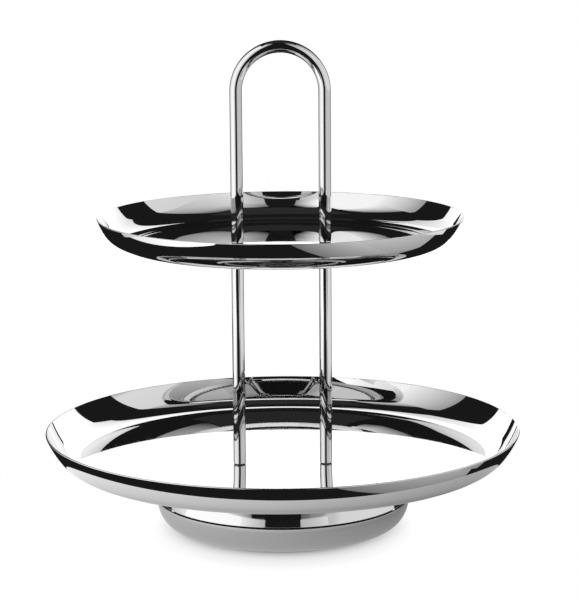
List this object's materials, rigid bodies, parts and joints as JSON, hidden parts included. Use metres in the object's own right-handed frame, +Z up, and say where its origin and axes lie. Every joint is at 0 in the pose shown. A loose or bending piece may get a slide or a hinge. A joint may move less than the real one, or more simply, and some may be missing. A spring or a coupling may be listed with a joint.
{
  "type": "tiered serving stand",
  "caption": "Polished steel serving stand with a small round tray above a large one, an arched rod handle and a revolving bowl-shaped foot.",
  "frame": {"origin": "on the axis of rotation, at the table", "axes": "+Z up along the axis of rotation, +X towards the right leg, the handle's arch in the XZ plane, -Y to the front"},
  "size_m": [0.3, 0.3, 0.308],
  "materials": {
    "polished_tray": "mirror-polished stainless steel sheet",
    "polished_rod": "mirror-polished stainless steel rod",
    "polished_foot": "polished stainless steel sheet",
    "plain_steel": "plain machined steel",
    "bearing_steel": "ground bearing steel",
    "seal_rubber": "matt black",
    "grip_rubber": "matt black",
    "slide_plastic": "natural nylon"
  },
  "bodies": {
    "base": {"base_bowl": "polished_foot", "grip_ring": "grip_rubber", "lower_race": "bearing_steel", "lower_race_rivets": "plain_steel", "pivot_bush": "slide_plastic"},
    "ball_ring": {"ball_cage": "slide_plastic", "bearing_balls": "bearing_steel"},
    "stand": {"carrying_handle": "polished_rod", "upper_tray": "polished_tray", "lower_tray": "polished_tray", "left_leg": "polished_rod", "right_leg": "polished_rod", "joining_studs": "plain_steel", "handle_seals": "seal_rubber", "upper_leg_seals": "seal_rubber", "lower_leg_seals": "seal_rubber", "leg_screws": "plain_steel", "leg_washers": "plain_steel", "skirt": "polished_foot", "hub_plate": "plain_steel", "pivot_bolt": "plain_steel", "thrust_washer": "slide_plastic", "upper_race": "bearing_steel", "upper_race_rivets": "plain_steel"}
  },
  "joints": [
    {"name": "stand_spin", "type": "hinge", "parent": "base", "child": "stand", "pos_m": [0, 0, 0.0234], "axis": [0, 0, 1], "continuous": true},
    {"name": "ball_ring_spin", "type": "hinge", "parent": "base", "child": "ball_ring", "pos_m": [0, 0, 0.0291], "axis": [0, 0, 1], "continuous": true}
  ],
  "couplings": [
    {"joint": "ball_ring_spin", "follows": "stand_spin", "ratio": 0.5}
  ]
}
